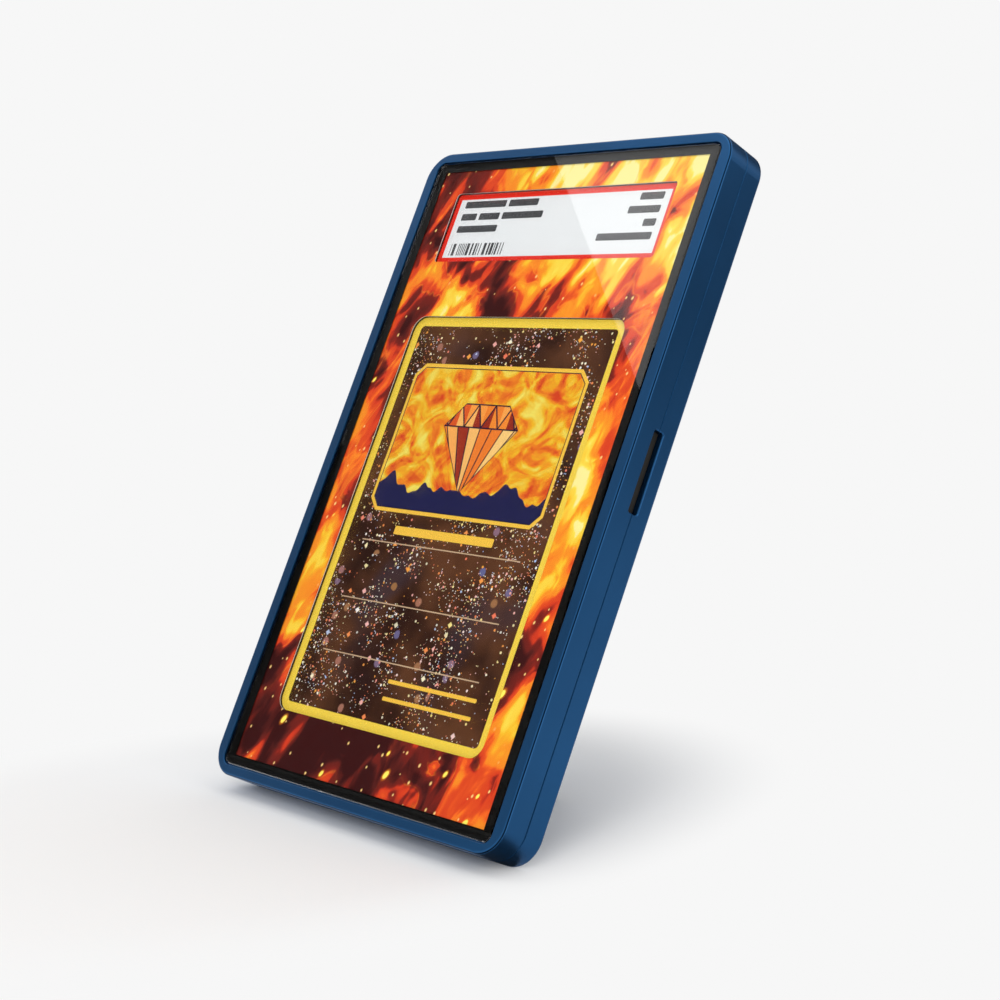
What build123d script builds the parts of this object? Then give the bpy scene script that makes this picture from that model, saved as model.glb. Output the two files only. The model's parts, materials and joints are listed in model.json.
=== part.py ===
from build123d import *
from math import atan2, cos, degrees, pi, radians, sin, sqrt
import os

# Trading card display case: two magnetic aluminium halves around a graded card slab, with
# a printed art insert behind a glass window and a folding kickstand in the back.
#
# Lengths are in millimetres. Every piece is drawn on the bench first, with the case lying
# on its back: X across the case, Y up the case from its centre, Z from the back face to
# the front. The whole case is then stood up, leaned back on its open kickstand and moved
# so that the origin is at the bottom centre of its box.

# Card and label that the slab holds
card_width = 63.0
card_height = 88.0
card_thickness = 0.4
card_corner = 3.2
label_width = 64.8
label_height = 16.2
label_thickness = 0.3
label_corner = 0.8

# Graded slab that the case is made for: its height adds up to the usual 136.5
slab_width = 82.55
slab_top_margin = 6.6
slab_middle_margin = 12.85
slab_bottom_margin = 12.85
slab_thickness = 6.35
slab_corner = 3.0
slab_edge_break = 0.4
slab_rail = 4.0
slab_window = 0.8
slab_floor = 1.0
well_fit = 0.2
well_fence = 1.2
well_overlap = 0.4
platform_inset = 0.8
platform_corner = 0.8
platform_width = 3.0
platform_gap = 0.02

# Aluminium halves
case_corner = 6.0
wall = 2.5
floor = 1.6
seam_height = 4.75
rim_side = 2.875
rim_end = 2.1
ledge_thickness = 0.35
ledge_side = 2.1
ledge_end = 1.65
window_corner = 2.1
opening_corner = 0.6
front_edge_round = 0.5
rim_edge_break = 0.12
back_edge_round = 0.7
seam_edge_break = 0.12
lift_gap = 0.05
front_ease = 0.05

# Soft lining
liner_thickness = 0.55
liner_top_gap = 0.1
slab_play = 0.15
pad_thickness = 0.6
pad_play = 0.2

# Window and art insert
glass_thickness = 0.8
glass_recess = 0.15
glass_play = 0.25
glass_bevel = 0.2
mask_thickness = 0.05
tape_thickness = 0.05
film_setback = 0.1
border_side = 2.9
border_end = 2.4
art_thickness = 0.25
art_play = 0.15
art_rest_gap = 0.03
art_margin = 0.05

# Pry slot on the seam of the right side
pry_length = 16.3
pry_height = 2.4
pry_corner = 0.45
pry_rise = 3.75
pry_edge_break = 0.2
pry_depth = 1.15
lug_play = 0.1

# Bar magnets and dowels that close the seam
magnet_length = 10.0
magnet_width = 1.3
magnet_depth = 1.8
magnet_play = 0.03
magnet_setback = 0.02
side_magnet_rises = (-48.0, -24.0, 24.0, 48.0)
end_magnet_offsets = (-20.0, 20.0)
dowel_radius = 0.5
dowel_seat = 2.5
dowel_reach = 1.5
dowel_fit = 0.01
dowel_ease = 0.06
dowel_end_gap = 0.3

# Kickstand
lean_degrees = 25.5
hinge_rise = 62.0
foot_reach = 39.0
leg_width = 20.0
leg_thickness = 0.8
leg_inset = 0.1
leg_roof_gap = 0.05
leg_end_gap = 0.5
leg_tip_round = 3.0
leg_edge_break = 0.12
recess_edge_break = 0.15
eye_radius = 0.95
eye_fit = 0.03
stop_reach = 1.3
stop_gap = 0.02
hinge_room = 0.2
pin_radius = 0.5
pin_seat = 2.4
pin_fit = 0.01
washer_thickness = 0.2
washer_side_gap = 0.05
washer_setback = 0.05
scoop_radius = 7.0
scoop_rise = 14.0
cap_length = 6.0
cap_skin = 0.2
cap_end = 0.9
cap_spare = 0.4

# Plate, screws and magnet inside the back
retainer_thickness = 0.3
retainer_height = 6.5
retainer_land = 1.8
retainer_corner = 1.0
retainer_window_gap = 0.3
screw_radius = 0.7
screw_fit = 0.02
screw_depth = 1.2
screw_end_gap = 0.05
screw_head_radius = 1.2
screw_head_height = 0.25
screw_offset = 1.9
screw_drive_width = 0.35
screw_drive_depth = 0.12
latch_radius = 2.5
latch_thickness = 0.5
latch_rise = 14.0

# Cuts run past the faces they open by this much
over = 1.0

# Sizes of the case that follow from the slab
slab_height = (
    slab_top_margin + label_height + slab_middle_margin + card_height + slab_bottom_margin
)
pocket_width = slab_width + 2 * (slab_play + liner_thickness)
pocket_height = slab_height + 2 * (slab_play + liner_thickness)
pocket_corner = case_corner - wall
case_width = pocket_width + 2 * wall
case_height = pocket_height + 2 * wall
window_width = case_width - 2 * rim_side
window_height = case_height - 2 * rim_end
opening_width = window_width - 2 * ledge_side
opening_height = window_height - 2 * ledge_end

# Heights of the layers above the back face
slab_back = floor + pad_thickness + lift_gap
slab_front = slab_back + slab_thickness
slab_seam = slab_back + slab_thickness / 2
card_front = slab_front - slab_window - platform_gap
card_back = card_front - card_thickness
label_back = card_front - label_thickness
ledge_back = slab_front + lift_gap
ledge_front = ledge_back + ledge_thickness
mask_back = ledge_front + tape_thickness
glass_back = mask_back + mask_thickness
glass_front = glass_back + glass_thickness
case_thickness = glass_front + glass_recess
front_back = seam_height + lift_gap

# Places that several pieces share
label_rise = slab_height / 2 - slab_top_margin - label_height / 2
card_rise = -slab_height / 2 + slab_bottom_margin + card_height / 2
side_wall_x = case_width / 2 - wall / 2
end_wall_y = case_height / 2 - wall / 2
dowel_swing = (case_corner - wall / 2) * cos(pi / 4)
dowel_x = case_width / 2 - case_corner + dowel_swing
dowel_y = case_height / 2 - case_corner + dowel_swing

# Kickstand places: hinge axis, and where the leg meets the ground when it is open
lean = radians(lean_degrees)
hinge_y = -case_height / 2 + hinge_rise
hinge_z = floor - pin_radius
edge_y = -case_height / 2 + back_edge_round
ground = edge_y * cos(lean) + back_edge_round * sin(lean) - back_edge_round
contact_y = edge_y * sin(lean) - back_edge_round * cos(lean)
foot_y = contact_y + foot_reach
foot_up = foot_y * sin(lean) + ground * cos(lean) - hinge_y
foot_out = ground * sin(lean) - foot_y * cos(lean) - hinge_z
leg_low = leg_inset - hinge_z
leg_high = leg_low + leg_thickness
leg_middle = (leg_low + leg_high) / 2
leg_reach = sqrt(foot_up**2 + foot_out**2 - leg_middle**2)
open_angle = atan2(foot_out, foot_up) - atan2(leg_middle, -leg_reach)
tip_reach = leg_reach + cap_spare
recess_depth = leg_inset + leg_thickness + leg_roof_gap
washer_room = washer_thickness + 2 * washer_side_gap
hinge_window_half = leg_width / 2 + washer_room
pin_half = hinge_window_half + pin_seat
screw_x = pin_half + screw_offset


def block(width, height, corner, low, high, x=0.0, y=0.0):
    """A plate with rounded corners between two heights."""
    outline = Pos(x, y, low) * RectangleRounded(width, height, corner)
    return extrude(outline, amount=high - low)


def square_block(width, height, low, high, y=0.0):
    """A plate with square corners between two heights."""
    return Pos(0, y, low) * extrude(Rectangle(width, height), amount=high - low)


def drum(radius, low, high, x=0.0, y=0.0):
    """An upright cylinder between two heights."""
    return Pos(x, y, low) * extrude(Circle(radius), amount=high - low)


def cross_bar(radius, half_length, y=0.0, z=0.0):
    """A cylinder along X, centred on the case."""
    return Pos(0, y, z) * Rot(Y=90) * Cylinder(radius, 2 * half_length)


def solid_group(pieces):
    """Separate solids under one name."""
    solids = [solid for piece in pieces for solid in piece.solids()]
    return Compound(solids)


def magnet_places():
    """Centres of the bar magnets, with the turn of each one's length."""
    sides = [(side * side_wall_x, rise, 90) for side in (-1, 1) for rise in side_magnet_rises]
    ends = [(offset, end * end_wall_y, 0) for end in (-1, 1) for offset in end_magnet_offsets]
    return sides + ends


def magnet_bars(low, high, play=0.0):
    """One upright bar for each magnet, or its slot when play is given."""
    length = magnet_length + 2 * play
    width = magnet_width + 2 * play
    return [
        Pos(x, y, low) * Rot(Z=turn) * extrude(Rectangle(length, width), amount=high - low)
        for x, y, turn in magnet_places()
    ]


def dowels(radius, low, high):
    """One upright pin, or its hole, in each corner of the wall."""
    return [
        drum(radius, low, high, side * dowel_x, end * dowel_y)
        for side in (-1, 1)
        for end in (-1, 1)
    ]


def pry_cut():
    """Slot through the right wall, with its outer edge broken."""
    face_x = case_width / 2
    mouth = Plane(origin=(face_x, pry_rise, seam_height), x_dir=(0, 1, 0), z_dir=(-1, 0, 0))
    slot = extrude(
        mouth.offset(-over) * RectangleRounded(pry_length, pry_height, pry_corner),
        amount=over + wall,
    )
    spread = 2 * pry_edge_break
    corner = pry_corner + pry_edge_break
    flare = extrude(
        mouth * RectangleRounded(pry_length + spread, pry_height + spread, corner),
        amount=pry_edge_break,
        taper=45,
    )
    return slot + flare


def make_front_frame():
    """Front half: bright rim, glass seat on a thin ledge, and a deep pocket behind."""
    frame = block(case_width, case_height, case_corner, front_back, case_thickness)
    frame = fillet(frame.faces().sort_by(Axis.Z)[-1].edges(), front_edge_round)
    frame = chamfer(frame.faces().sort_by(Axis.Z)[0].edges(), seam_edge_break)
    frame -= block(window_width, window_height, window_corner, ledge_front, case_thickness + over)
    frame -= block(opening_width, opening_height, opening_corner, ledge_back - over, ledge_front + over)
    frame -= block(
        pocket_width + 2 * front_ease,
        pocket_height + 2 * front_ease,
        pocket_corner + front_ease,
        front_back - over,
        ledge_back,
    )
    rim = frame.faces().sort_by(Axis.Z)[-1]
    frame = chamfer(rim.inner_wires()[0].edges(), rim_edge_break)
    slot_top = front_back + magnet_setback + magnet_depth
    for slot in magnet_bars(front_back - over, slot_top, magnet_play):
        frame -= slot
    hole_top = seam_height + dowel_reach + dowel_end_gap
    for hole in dowels(dowel_radius + dowel_ease, front_back - over, hole_top):
        frame -= hole
    return frame - pry_cut()


def make_rear_shell():
    """Rear half: a milled tray with the kickstand's recess in its back."""
    shell = block(case_width, case_height, case_corner, 0, seam_height)
    shell = fillet(shell.faces().sort_by(Axis.Z)[0].edges(), back_edge_round)
    shell = chamfer(shell.faces().sort_by(Axis.Z)[-1].edges(), seam_edge_break)
    shell -= block(pocket_width, pocket_height, pocket_corner, floor, seam_height + over)
    slot_low = seam_height - magnet_setback - magnet_depth
    for slot in magnet_bars(slot_low, seam_height + over, magnet_play):
        shell -= slot
    for hole in dowels(dowel_radius + dowel_fit, seam_height - dowel_seat, seam_height + over):
        shell -= hole
    shell -= leg_recess()
    back_face = shell.faces().sort_by(Axis.Z)[0]
    shell = chamfer(back_face.inner_wires()[0].edges(), recess_edge_break)
    shell -= hinge_seat()
    for hole in screws(screw_radius + screw_fit, floor - screw_depth - screw_end_gap, floor + over):
        shell -= hole
    return shell - pry_cut()


def leg_recess():
    """Shallow recess for the folded leg, with a finger scoop on each side of it."""
    width = leg_width + 2 * washer_room
    length = tip_reach + leg_end_gap
    corner = leg_tip_round + washer_room
    recess = square_block(width, length, -over, recess_depth, hinge_y - length / 2)
    tip_edges = recess.edges().filter_by(Axis.Z).group_by(Axis.Y)[0]
    recess = fillet(tip_edges, corner)
    scoop_y = hinge_y - leg_reach + scoop_rise
    for side in (-1, 1):
        recess += drum(scoop_radius, -over, recess_depth, side * leg_width / 2, scoop_y)
    return recess


def hinge_seat():
    """Window through the floor for the leg's eye, and a trough for each end of the pin."""
    low = hinge_y - eye_radius - hinge_room
    high = hinge_y + stop_reach + stop_gap
    middle = (low + high) / 2
    seat = square_block(2 * hinge_window_half, high - low, -over, floor + over, middle)
    trough = pin_radius + pin_fit
    seat += cross_bar(trough, pin_half, hinge_y, hinge_z)
    return seat + square_block(2 * pin_half, 2 * trough, hinge_z, hinge_z + over, hinge_y)


def screws(radius, low, high):
    """One upright cylinder at each retainer screw."""
    return [drum(radius, low, high, side * screw_x, hinge_y) for side in (-1, 1)]


def make_window_glass():
    """Glass pane with a fine bevel around its front."""
    glass = block(
        window_width - 2 * glass_play,
        window_height - 2 * glass_play,
        window_corner - glass_play,
        glass_back,
        glass_front,
    )
    return chamfer(glass.faces().sort_by(Axis.Z)[-1].edges(), glass_bevel)


def film_outline(low, high):
    """Thin layer a little smaller than the glass."""
    inset = glass_play + film_setback
    return block(
        window_width - 2 * inset,
        window_height - 2 * inset,
        window_corner - inset,
        low,
        high,
    )


def make_window_mask():
    """Black border printed on the back of the glass."""
    view_width = window_width - 2 * border_side
    view_height = window_height - 2 * border_end
    view = square_block(view_width, view_height, mask_back - over, glass_back + over)
    return film_outline(mask_back, glass_back) - view


def make_window_tape():
    """Double-sided tape that bonds the glass to the ledge."""
    clear = square_block(
        opening_width + 2 * film_setback,
        opening_height + 2 * film_setback,
        ledge_front - over,
        mask_back + over,
    )
    return film_outline(ledge_front, mask_back) - clear


def make_art_insert():
    """Printed sheet with one cut-out over the card and one over the label."""
    low = slab_front + art_rest_gap
    high = low + art_thickness
    sheet = block(
        opening_width - 2 * art_play,
        opening_height - 2 * art_play,
        opening_corner - art_play,
        low,
        high,
    )
    sheet -= block(
        card_width + 2 * art_margin,
        card_height + 2 * art_margin,
        card_corner + art_margin,
        low - over,
        high + over,
        y=card_rise,
    )
    return sheet - block(
        label_width + 2 * art_margin,
        label_height + 2 * art_margin,
        label_corner + art_margin,
        low - over,
        high + over,
        y=label_rise,
    )


def make_cushion_ring():
    """Rubber ring around the slab, standing up through both halves, with a lug in the slot."""
    high = ledge_back - liner_top_gap
    ring = block(pocket_width, pocket_height, pocket_corner, floor, high)
    ring += pry_lug()
    return ring - block(
        pocket_width - 2 * liner_thickness,
        pocket_height - 2 * liner_thickness,
        pocket_corner - liner_thickness,
        floor - over,
        high + over,
    )


def pry_lug():
    """Lug of the ring that closes the pry slot against dust and leaves a step to pry on."""
    low_x = pocket_width / 2 - liner_thickness
    high_x = case_width / 2 - pry_depth
    length = pry_length - 2 * lug_play
    height = pry_height - 2 * lug_play
    return Pos((low_x + high_x) / 2, pry_rise, seam_height) * Box(high_x - low_x, length, height)


def make_back_pad():
    """Foam pad behind the slab, cut out around the hinge plate and the latch magnet."""
    inset = liner_thickness + pad_play
    high = floor + pad_thickness
    pad = block(
        pocket_width - 2 * inset,
        pocket_height - 2 * inset,
        pocket_corner - inset,
        floor,
        high,
    )
    pad -= square_block(
        retainer_width() + 2 * pad_play,
        retainer_height + 2 * pad_play,
        floor - over,
        high + over,
        hinge_y,
    )
    return pad - drum(latch_radius + pad_play, floor - over, high + over, y=latch_y())


def retainer_width():
    """Width of the plate over the hinge pin."""
    return 2 * (screw_x + retainer_land)


def latch_y():
    """Place of the latch magnet, above the folded leg's tip."""
    return hinge_y - leg_reach + latch_rise


def make_pin_retainer():
    """Plate that closes the pin's troughs, open over the leg's eye."""
    high = floor + retainer_thickness
    plate = block(retainer_width(), retainer_height, retainer_corner, floor, high, y=hinge_y)
    window_half = eye_radius + retainer_window_gap
    plate -= square_block(
        2 * hinge_window_half, 2 * window_half, floor - over, high + over, hinge_y
    )
    for hole in screws(screw_radius + screw_fit, floor - over, high + over):
        plate -= hole
    return plate


def make_retainer_screws():
    """Pan-head screws with a plain cross drive."""
    seat = floor + retainer_thickness
    top = seat + screw_head_height
    shanks = screws(screw_radius, floor - screw_depth, seat)
    heads = screws(screw_head_radius, seat, top)
    drive_length = 2 * screw_radius
    drive = Pos(0, 0, top - screw_drive_depth) * extrude(
        Rectangle(drive_length, screw_drive_width) + Rectangle(screw_drive_width, drive_length),
        amount=over,
    )
    made = []
    for shank, head in zip(shanks, heads):
        centre = head.center()
        made.append(shank + head - Pos(centre.X, centre.Y, 0) * drive)
    return solid_group(made)


def leg_plan(reach, low, high):
    """Outline of the leg from its axis to its rounded tip, folded along -Y."""
    plan = square_block(leg_width, reach, low, high, -reach / 2)
    return fillet(plan.edges().filter_by(Axis.Z).group_by(Axis.Y)[0], leg_tip_round)


def leg_strip(reach):
    """The leg's full thickness, with its long edges and its tip broken on both faces."""
    strip = leg_plan(reach, leg_low, leg_high)
    faces = strip.faces().filter_by(Axis.Z)
    rims = [edge for face in faces for edge in face.edges() if edge.center().Y < -leg_tip_round / 2]
    return chamfer(rims, leg_edge_break)


def leg_tongue():
    """Thinner end of the leg, inside the rubber foot."""
    return leg_plan(leg_reach - cap_end, leg_low + cap_skin, leg_high - cap_skin)


def foot_zone():
    """Everything beyond the line where the rubber foot begins."""
    length = cap_length + over
    start = leg_reach - cap_length
    zone = Rectangle(leg_width + 2 * over, length)
    return Pos(0, -start - length / 2, leg_low - over) * extrude(
        zone, amount=leg_thickness + 2 * over
    )


def leg_heel():
    """Short heel beyond the axis: its end face meets the window's wall when open."""
    corner_y = (stop_reach + leg_low * sin(open_angle)) / cos(open_angle)
    heel = Polyline(
        (0, leg_low),
        (corner_y, leg_low),
        (stop_reach * cos(open_angle), -stop_reach * sin(open_angle)),
        (eye_radius / 2, eye_radius / 2),
        (0, 0),
        (0, leg_low),
    )
    section = Plane.YZ.offset(-leg_width / 2) * make_face(heel)
    return extrude(section, amount=leg_width)


def make_folded_leg():
    """Leg folded along -Y, with its hinge axis on X through the origin."""
    leg = leg_strip(leg_reach - cap_end) - foot_zone() + leg_tongue()
    leg += cross_bar(eye_radius, leg_width / 2)
    leg += leg_heel()
    return leg - cross_bar(pin_radius + eye_fit, leg_width)


def make_folded_foot():
    """Rubber foot bonded over the tongue."""
    foot = leg_plan(tip_reach, leg_low, leg_high) & foot_zone()
    return foot - leg_tongue()


def ground_block():
    """Everything below the ground, in the standing frame."""
    size = 2 * case_height
    return Pos(0, 0, ground - size / 2) * Box(size, size, size)


def make_hinge_pin():
    """Steel pin in the shell's troughs."""
    return cross_bar(pin_radius, pin_half - pin_fit, hinge_y, hinge_z)


def make_hinge_washers():
    """Thin washer at each end of the leg's eye."""
    ring = Circle(eye_radius - washer_setback) - Circle(pin_radius + eye_fit)
    washer = Rot(Y=90) * extrude(ring, amount=washer_thickness / 2, both=True)
    offset = leg_width / 2 + washer_side_gap + washer_thickness / 2
    return solid_group([Pos(side * offset, hinge_y, hinge_z) * washer for side in (-1, 1)])


def card_well(low, high):
    """Fence with round corners that frames the card inside the front shell."""
    play = well_fit + well_fence
    fence = block(
        card_width + 2 * play,
        card_height + 2 * play,
        card_corner + play,
        low,
        high,
        y=card_rise,
    )
    return fence - block(
        card_width + 2 * well_fit,
        card_height + 2 * well_fit,
        card_corner + well_fit,
        low - over,
        high + over,
        y=card_rise,
    )


def label_well(low, high):
    """Square fence that frames the label inside the front shell."""
    play = well_fit + well_fence
    fence = square_block(label_width + 2 * play, label_height + 2 * play, low, high, label_rise)
    return fence - square_block(
        label_width + 2 * well_fit, label_height + 2 * well_fit, low - over, high + over, label_rise
    )


def slab_hollow(low, high):
    """Hollow between the shells' edge rails."""
    return block(
        slab_width - 2 * slab_rail,
        slab_height - 2 * slab_rail,
        slab_corner,
        low,
        high,
    )


def make_slab_front():
    """Clear front shell with the card's and the label's fences."""
    shell = block(slab_width, slab_height, slab_corner, slab_seam, slab_front)
    shell = chamfer(shell.faces().sort_by(Axis.Z)[-1].edges(), slab_edge_break)
    face_back = slab_front - slab_window
    shell -= slab_hollow(slab_seam - over, face_back)
    low = card_back - well_overlap
    return shell + card_well(low, face_back) + label_well(low, face_back)


def slab_platform(width, height, top, y):
    """Raised frame that holds the card or the label against the front shell."""
    low = slab_back + slab_floor
    outer_width = width - 2 * platform_inset
    outer_height = height - 2 * platform_inset
    frame = block(outer_width, outer_height, platform_corner, low, top, y=y)
    return frame - square_block(
        outer_width - 2 * platform_width,
        outer_height - 2 * platform_width,
        low - over,
        top + over,
        y,
    )


def make_slab_back():
    """Clear back shell with the platforms under the card and the label."""
    shell = block(slab_width, slab_height, slab_corner, slab_back, slab_seam)
    shell = chamfer(shell.faces().sort_by(Axis.Z)[0].edges(), slab_edge_break)
    shell -= slab_hollow(slab_back + slab_floor, slab_seam + over)
    shell += slab_platform(card_width, card_height, card_back - platform_gap, card_rise)
    return shell + slab_platform(
        label_width, label_height, label_back - platform_gap, label_rise
    )


def make_card():
    """Card in the slab's well."""
    return block(card_width, card_height, card_corner, card_back, card_front, y=card_rise)


def make_slab_label():
    """Paper label above the card."""
    return block(label_width, label_height, label_corner, label_back, card_front, y=label_rise)


def make_front_magnets():
    """Bar magnets in the front half."""
    low = front_back + magnet_setback
    return solid_group(magnet_bars(low, low + magnet_depth))


def make_rear_magnets():
    """Bar magnets in the rear half."""
    high = seam_height - magnet_setback
    return solid_group(magnet_bars(high - magnet_depth, high))


def make_dowel_pins():
    """Steel dowels fixed in the rear half."""
    return solid_group(dowels(dowel_radius, seam_height - dowel_seat, seam_height + dowel_reach))


def make_latch_magnet():
    """Disc magnet that holds the folded leg."""
    return drum(latch_radius, floor, floor + latch_thickness, y=latch_y())


stand_up = Rot(X=90 - lean_degrees)
open_leg = Pos(0, hinge_y, hinge_z) * Rot(X=degrees(open_angle))

standing = {
    "front_frame": stand_up * make_front_frame(),
    "front_magnets": stand_up * make_front_magnets(),
    "window_glass": stand_up * make_window_glass(),
    "window_mask": stand_up * make_window_mask(),
    "window_tape": stand_up * make_window_tape(),
    "art_insert": stand_up * make_art_insert(),
    "slab_front": stand_up * make_slab_front(),
    "slab_back": stand_up * make_slab_back(),
    "slab_label": stand_up * make_slab_label(),
    "card": stand_up * make_card(),
    "rear_shell": stand_up * make_rear_shell(),
    "rear_magnets": stand_up * make_rear_magnets(),
    "dowel_pins": stand_up * make_dowel_pins(),
    "cushion_ring": stand_up * make_cushion_ring(),
    "back_pad": stand_up * make_back_pad(),
    "latch_magnet": stand_up * make_latch_magnet(),
    "pin_retainer": stand_up * make_pin_retainer(),
    "retainer_screws": stand_up * make_retainer_screws(),
    "hinge_pin": stand_up * make_hinge_pin(),
    "hinge_washers": stand_up * make_hinge_washers(),
    "kickstand_leg": stand_up * open_leg * make_folded_leg(),
    "foot_cap": stand_up * open_leg * make_folded_foot() - ground_block(),
}

box = Compound([solid for piece in standing.values() for solid in piece.solids()]).bounding_box()
to_origin = Pos(-(box.min.X + box.max.X) / 2, -(box.min.Y + box.max.Y) / 2, -box.min.Z)

os.makedirs("parts", exist_ok=True)
for name, piece in standing.items():
    placed = to_origin * piece
    placed.label = name
    export_step(placed, f"parts/{name}.step")


def in_row(x, y, z):
    """A bench point in the standing frame, in metres."""
    point = (to_origin * stand_up * Pos(x, y, z)).position
    return [round(value / 1000, 6) for value in point]


print("case", round(case_width, 3), round(case_height, 3), round(case_thickness, 3))
print("standing box", [round(value, 3) for value in box.size])
print("opening angle", round(degrees(open_angle), 3), "leg reach", round(leg_reach, 3))
print("hinge axis", in_row(0, hinge_y, hinge_z))
print("back face", in_row(0, case_height / 4, 0), "bottom face", in_row(0, -case_height / 2, case_thickness / 2))
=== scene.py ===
import json
from math import atan2, pi, radians

import bmesh
import bpy
from mathutils import Matrix, Vector


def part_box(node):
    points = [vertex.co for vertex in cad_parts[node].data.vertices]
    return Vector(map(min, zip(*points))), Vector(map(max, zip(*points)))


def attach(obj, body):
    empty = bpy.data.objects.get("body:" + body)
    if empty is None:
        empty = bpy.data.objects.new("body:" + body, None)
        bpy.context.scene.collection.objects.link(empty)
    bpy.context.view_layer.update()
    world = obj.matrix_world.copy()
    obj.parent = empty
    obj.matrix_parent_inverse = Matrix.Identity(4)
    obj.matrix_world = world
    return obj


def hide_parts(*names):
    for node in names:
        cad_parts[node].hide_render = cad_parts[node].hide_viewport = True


bl_info = {
    "name": "Card display case finishes",
    "version": (1, 0, 0),
    "blender": (4, 5, 0),
    "location": "3D View > Sidebar > Card case",
    "description": "Finishes, soft parts and stage for a magnetic trading card display case",
    "category": "Object",
}

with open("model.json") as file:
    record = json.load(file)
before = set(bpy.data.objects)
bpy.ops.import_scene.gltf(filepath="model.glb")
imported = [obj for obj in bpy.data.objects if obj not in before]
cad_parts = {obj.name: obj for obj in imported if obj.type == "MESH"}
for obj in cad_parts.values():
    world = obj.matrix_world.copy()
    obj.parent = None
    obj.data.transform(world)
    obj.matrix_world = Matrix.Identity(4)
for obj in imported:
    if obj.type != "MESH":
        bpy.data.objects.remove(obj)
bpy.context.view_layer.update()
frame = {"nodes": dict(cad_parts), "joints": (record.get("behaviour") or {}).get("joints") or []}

MM = 0.001

# Directions of the leaning case: across it, up it and out of its window
out_of_case = Vector(next(j["axis"] for j in frame["joints"] if j["name"] == "front_lift"))
across_case = Vector((1, 0, 0))
up_case = out_of_case.cross(across_case)
case_tilt = atan2(-out_of_case.y, out_of_case.z)
case_axes = Matrix((across_case, up_case, out_of_case)).transposed()

# Directions of the open kickstand: down the leg, and out of its back face
fold = next(j for j in frame["joints"] if j["name"] == "kickstand_fold")
hinge_place = Vector(fold["pos_m"])
unfold = Matrix.Rotation(-radians(fold["range_deg"][1]), 3, Vector(fold["axis"]))
down_leg = unfold @ -up_case
out_of_leg = unfold @ -out_of_case


def middle(*nodes):
    """Centre of the box around some CAD nodes."""
    corners = [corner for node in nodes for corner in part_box(node)]
    low = Vector([min(corner[i] for corner in corners) for i in range(3)])
    high = Vector([max(corner[i] for corner in corners) for i in range(3)])
    return (low + high) / 2


def on_pane(x, y):
    """A point on the pane's front, in metres, from millimetres across and up from its middle."""
    half_thickness = 0.4
    return middle("window_glass") + case_axes @ Vector((x, y, half_thickness)) * MM


def half_size(node):
    """Half the width and half the height of a flat CAD node, in millimetres along the case."""
    low, high = (Vector(corner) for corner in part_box(node))
    return (high.x - low.x) / 2 / MM, (high - low).dot(up_case) / 2 / MM


class Wire:
    """A shader socket. Arithmetic on it adds Math nodes."""

    def __init__(self, finish, socket):
        self.finish = finish
        self.socket = socket

    def __add__(self, other):
        return self.finish.maths("ADD", self, other)

    def __sub__(self, other):
        return self.finish.maths("SUBTRACT", self, other)

    def __mul__(self, other):
        return self.finish.maths("MULTIPLY", self, other)

    def __truediv__(self, other):
        return self.finish.maths("DIVIDE", self, other)

    def __rsub__(self, other):
        return self.finish.maths("SUBTRACT", other, self)

    def __pow__(self, other):
        return self.finish.maths("POWER", self, other)

    def __mod__(self, other):
        return self.finish.maths("FLOORED_MODULO", self, other)

    def __gt__(self, other):
        return self.finish.maths("GREATER_THAN", self, other)

    def __lt__(self, other):
        return self.finish.maths("LESS_THAN", self, other)

    def __neg__(self):
        return self.finish.maths("MULTIPLY", self, -1)

    def __abs__(self):
        return self.finish.maths("ABSOLUTE", self)

    __radd__ = __add__
    __rmul__ = __mul__

    def floor(self):
        return self.finish.maths("FLOOR", self)

    def least(self, other):
        return self.finish.maths("MINIMUM", self, other)

    def most(self, other):
        return self.finish.maths("MAXIMUM", self, other)

    def ramp(self, low, high):
        """0 below low, 1 above high and smooth between."""
        sockets = {"Value": self, "From Min": low, "From Max": high}
        return self.finish.add("ShaderNodeMapRange", {"interpolation_type": "SMOOTHSTEP"}, sockets)

    def inside(self, soft=0.05):
        """1 where a signed distance is below 0, with an edge that is soft this far each way."""
        return (-self).ramp(-soft, soft)


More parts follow.
